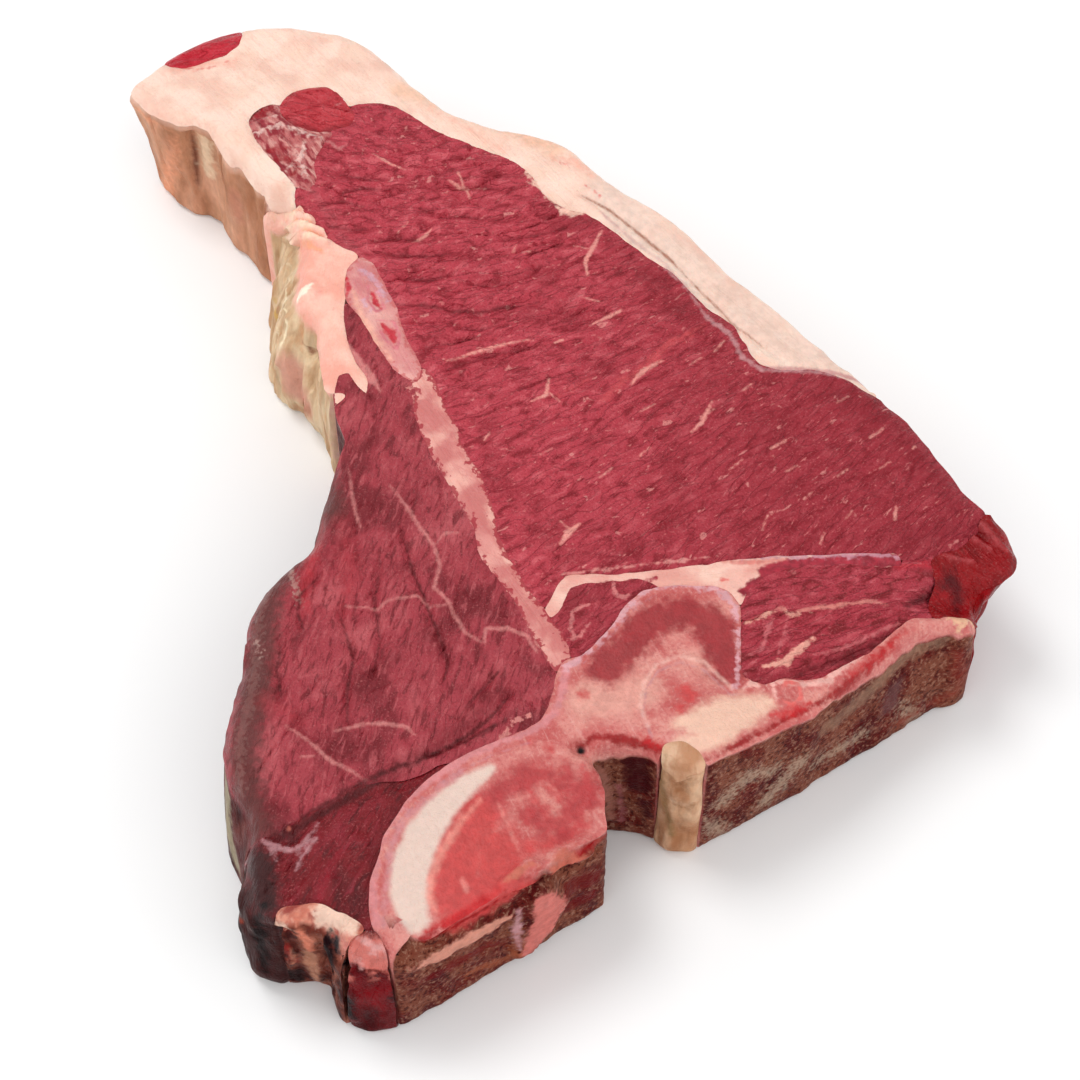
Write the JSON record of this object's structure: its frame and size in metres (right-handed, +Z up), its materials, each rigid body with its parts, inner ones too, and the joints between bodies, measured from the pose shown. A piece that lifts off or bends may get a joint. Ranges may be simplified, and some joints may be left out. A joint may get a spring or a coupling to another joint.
{
  "type": "raw t-bone steak",
  "caption": "Thick raw T-bone steak: eye muscle and tenderloin on either side of a sawn vertebra, with a fat cap, kidney fat and a narrow fat end.",
  "frame": {"origin": "middle of the bounding box in plan, on the flat face that the steak lies on", "axes": "+Z up, through the thickness of the cut; +Y from the bone to the fat end; +X from the tenderloin to the fat cap"},
  "size_m": [0.205, 0.2542, 0.0375],
  "materials": {
    "muscle": "moist cut meat, satin",
    "dark_muscle": "moist, a little dried meat, satin",
    "wet_flap": "wet torn meat, glossy",
    "fat": "firm beef fat, satin",
    "pink_fat": "soft pink fat with membrane, satin",
    "bone": "sawn bone and red marrow, matt",
    "cartilage": "cartilage, satin",
    "ligament": "yellow ligament, matt"
  },
  "bodies": {
    "root": {"ligament": "ligament", "finger_bone": "cartilage", "vertebra": "bone", "seam_fat": "pink_fat", "facet_fat": "pink_fat", "kidney_fat": "fat", "end_flap": "wet_flap", "end_fat": "pink_fat", "side_flap": "wet_flap", "seam_muscle": "muscle", "back_muscle_upper": "muscle", "back_muscle_lower": "muscle", "tail_muscle": "muscle", "tail_seam_fat": "pink_fat", "flank_muscle": "muscle", "tenderloin": "dark_muscle", "lower_muscle": "dark_muscle", "loin_muscle": "muscle", "fat_cap": "fat"}
  },
  "joints": []
}
